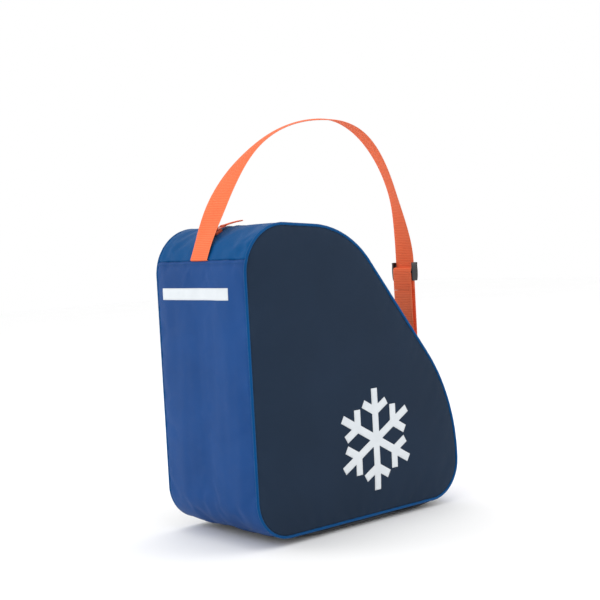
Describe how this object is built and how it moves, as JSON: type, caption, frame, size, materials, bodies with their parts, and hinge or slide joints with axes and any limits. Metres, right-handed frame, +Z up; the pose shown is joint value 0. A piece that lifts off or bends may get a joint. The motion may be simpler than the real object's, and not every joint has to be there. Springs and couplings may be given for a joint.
{
  "type": "ski boot bag",
  "caption": "Wedge-shaped soft bag for a pair of ski boots: piped side panels, zipped top gusset and an adjustable webbing shoulder strap.",
  "frame": {"origin": "on the ground under the middle of the bag's box, strap standing up as stored", "axes": "+X to the toe end, +Y to the bag's left, +Z up"},
  "size_m": [0.396, 0.2054, 0.575],
  "materials": {
    "navy_fabric": "coated woven polyester, satin",
    "royal_fabric": "coated woven polyester, satin",
    "teal_fabric": "coated woven polyester, satin",
    "piping_fabric": "woven bias strip",
    "piping_core": "round polyethylene cord",
    "sole_fabric": "coarse coated polyester",
    "binding_tape": "woven binding tape",
    "strap_webbing": "ribbed polyester webbing",
    "black_plastic": "moulded acetal, satin",
    "board": "polyethylene board",
    "zip_tape": "woven zip tape",
    "zip_coil": "nylon coil",
    "zip_metal": "painted zinc casting",
    "pull_ribbon": "narrow ribbed ribbon",
    "print_film": "heat-pressed film"
  },
  "bodies": {
    "bag": {"side_panel_right": "navy_fabric", "side_panel_left": "navy_fabric", "back_panel": "royal_fabric", "front_panel": "royal_fabric", "top_gusset_right": "teal_fabric", "top_gusset_left": "teal_fabric", "bottom_panel": "sole_fabric", "base_board": "board", "piping_cover_right": "piping_fabric", "piping_cover_left": "piping_fabric", "piping_cord_right": "piping_core", "piping_cord_left": "piping_core", "seam_binding_right": "binding_tape", "seam_binding_left": "binding_tape", "heel_top_seam_binding": "binding_tape", "heel_sole_seam_binding": "binding_tape", "toe_sole_seam_binding": "binding_tape", "front_seam_binding": "binding_tape", "zipper_tape_right": "zip_tape", "zipper_tape_left": "zip_tape", "zipper_coil_right": "zip_coil", "zipper_coil_left": "zip_coil", "zipper_front_stop": "zip_metal", "zipper_heel_stop": "zip_metal", "strap_heel_end": "strap_webbing", "ring_tab": "strap_webbing", "side_print": "print_film", "back_print": "print_film"},
    "zip_slider": {"zipper_slider": "zip_metal"},
    "zip_pull": {"zipper_pull_tab": "zip_metal", "zipper_pull_ribbon": "pull_ribbon"},
    "strap": {"shoulder_strap": "strap_webbing", "strap_return": "strap_webbing", "strap_ring": "black_plastic"},
    "adjuster": {"strap_adjuster": "black_plastic", "strap_adjuster_fold": "strap_webbing"}
  },
  "joints": [
    {"name": "zip_slider_travel", "type": "hinge", "parent": "bag", "child": "zip_slider", "pos_m": [-0.13126, 0, 0.35686], "axis": [0, 1, 0], "range_deg": [0, 30]},
    {"name": "zip_pull_lift", "type": "hinge", "parent": "zip_slider", "child": "zip_pull", "pos_m": [-0.16347, 0, 0.41743], "axis": [0, -1, 0], "range_deg": [0, 38]},
    {"name": "strap_swing", "type": "hinge", "parent": "bag", "child": "strap", "pos_m": [-0.17522, 0, 0.41997], "axis": [0.8099, 0, -0.5866], "range_deg": [-45, 45], "deforming": ["strap_heel_end", "ring_tab"]},
    {"name": "adjuster_slide", "type": "slide", "parent": "strap", "child": "adjuster", "axis": [0, 0, -1], "range_m": [0, 0.12], "deforming": ["strap_return"]}
  ]
}
